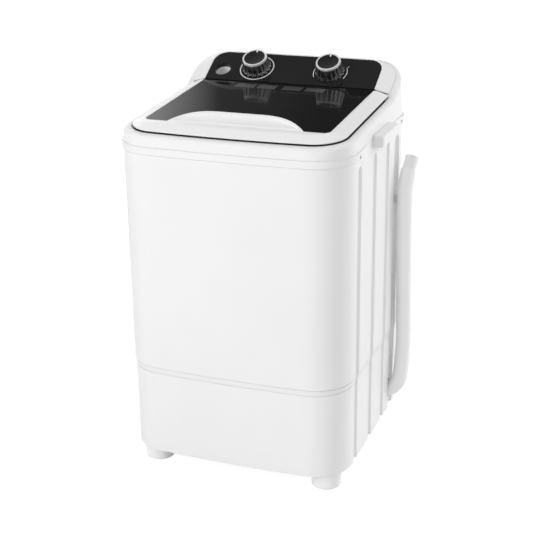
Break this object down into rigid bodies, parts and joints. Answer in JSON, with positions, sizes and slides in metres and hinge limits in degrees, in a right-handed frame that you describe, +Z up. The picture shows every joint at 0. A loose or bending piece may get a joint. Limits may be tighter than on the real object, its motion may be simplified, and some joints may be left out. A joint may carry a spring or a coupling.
{
  "type": "top load washing machine",
  "caption": "Small single-tub top load washing machine with a hinged smoked lid, sloping control panel with two knobs, pulsator drive and drain hose",
  "frame": {"origin": "on the floor, under the middle of the bounding box of everything but the free hose", "axes": "+Z up, -Y out of the front, +X to the right as seen from the front"},
  "size_m": [0.4739, 0.424, 0.7246],
  "materials": {
    "white_shell": "semi-gloss moulded",
    "white_gloss": "gloss moulded",
    "black_gloss": "high gloss",
    "black_plastic": "satin",
    "smoked_window": "smoked, high gloss",
    "bright_trim": "plated",
    "pale_plastic": "moulded",
    "grey_hose": "ribbed flexible hose",
    "rubber": "matt",
    "steel": "zinc plated",
    "painted": "enamelled",
    "cast": "die cast",
    "bronze": "sintered"
  },
  "bodies": {
    "machine": {"cabinet_shell": "white_shell", "side_handle_left": "white_shell", "side_handle_right": "white_shell", "top_frame": "white_shell", "control_bezel": "white_shell", "foot_front_left": "white_gloss", "foot_front_right": "white_gloss", "foot_rear_left": "white_gloss", "foot_rear_right": "white_gloss", "control_panel": "black_gloss", "hinge_brackets": "black_plastic", "capacitor": "black_plastic", "timer_body": "black_plastic", "selector_body": "black_plastic", "cord_gland": "black_plastic", "timer_dial_ring": "bright_trim", "inlet_chute": "pale_plastic", "splash_guard": "pale_plastic", "wash_tub": "pale_plastic", "drain_grate": "pale_plastic", "base_frame": "pale_plastic", "bottom_cover": "pale_plastic", "drain_pipe": "pale_plastic", "hose_cuff": "pale_plastic", "hose_clip": "pale_plastic", "drain_hose": "grey_hose", "lid_seal": "rubber", "oil_seal": "rubber", "motor_mounts": "rubber", "drive_belt": "rubber", "frame_screws": "steel", "cover_screws": "steel", "bracket_bolts": "steel", "motor_bolts": "steel", "hose_clamp": "steel", "capacitor_clamp": "steel", "motor_bracket": "steel", "motor_body": "painted", "bearing_housing": "cast", "shaft_bushes": "bronze"},
    "lid": {"lid_frame": "white_shell", "lid_window": "smoked_window", "hinge_pins": "steel"},
    "timer_dial": {"timer_knob": "black_gloss", "timer_knob_ring": "bright_trim", "timer_knob_cap": "black_gloss", "timer_shaft": "steel"},
    "selector_dial": {"selector_knob": "black_gloss", "selector_knob_ring": "bright_trim", "selector_knob_cap": "black_gloss", "selector_shaft": "steel"},
    "agitator": {"pulsator": "pale_plastic", "pulsator_screw": "steel", "drive_shaft": "steel", "drive_pulley": "cast"},
    "motor_rotor": {"motor_shaft": "steel", "motor_pulley": "black_plastic"}
  },
  "joints": [
    {"name": "lid_hinge", "type": "hinge", "parent": "machine", "child": "lid", "pos_m": [-0.00602, 0.10534, 0.66468], "axis": [-1, 0, 0], "range_deg": [0, 94]},
    {"name": "timer_turn", "type": "hinge", "parent": "machine", "child": "timer_dial", "pos_m": [-0.07902, 0.1445, 0.69024], "axis": [0, 0.506, -0.8625], "range_deg": [0, 330]},
    {"name": "selector_turn", "type": "hinge", "parent": "machine", "child": "selector_dial", "pos_m": [0.06698, 0.1445, 0.69024], "axis": [0, 0.506, -0.8625], "range_deg": [-60, 60]},
    {"name": "agitator_spin", "type": "hinge", "parent": "machine", "child": "agitator", "pos_m": [-0.00602, 0.002, 0.093], "axis": [0, 0, 1], "continuous": true},
    {"name": "motor_spin", "type": "hinge", "parent": "machine", "child": "motor_rotor", "pos_m": [-0.00602, 0.12, 0.093], "axis": [0, 0, 1], "continuous": true}
  ],
  "couplings": [
    {"joint": "motor_spin", "follows": "agitator_spin", "ratio": 4.1085}
  ]
}
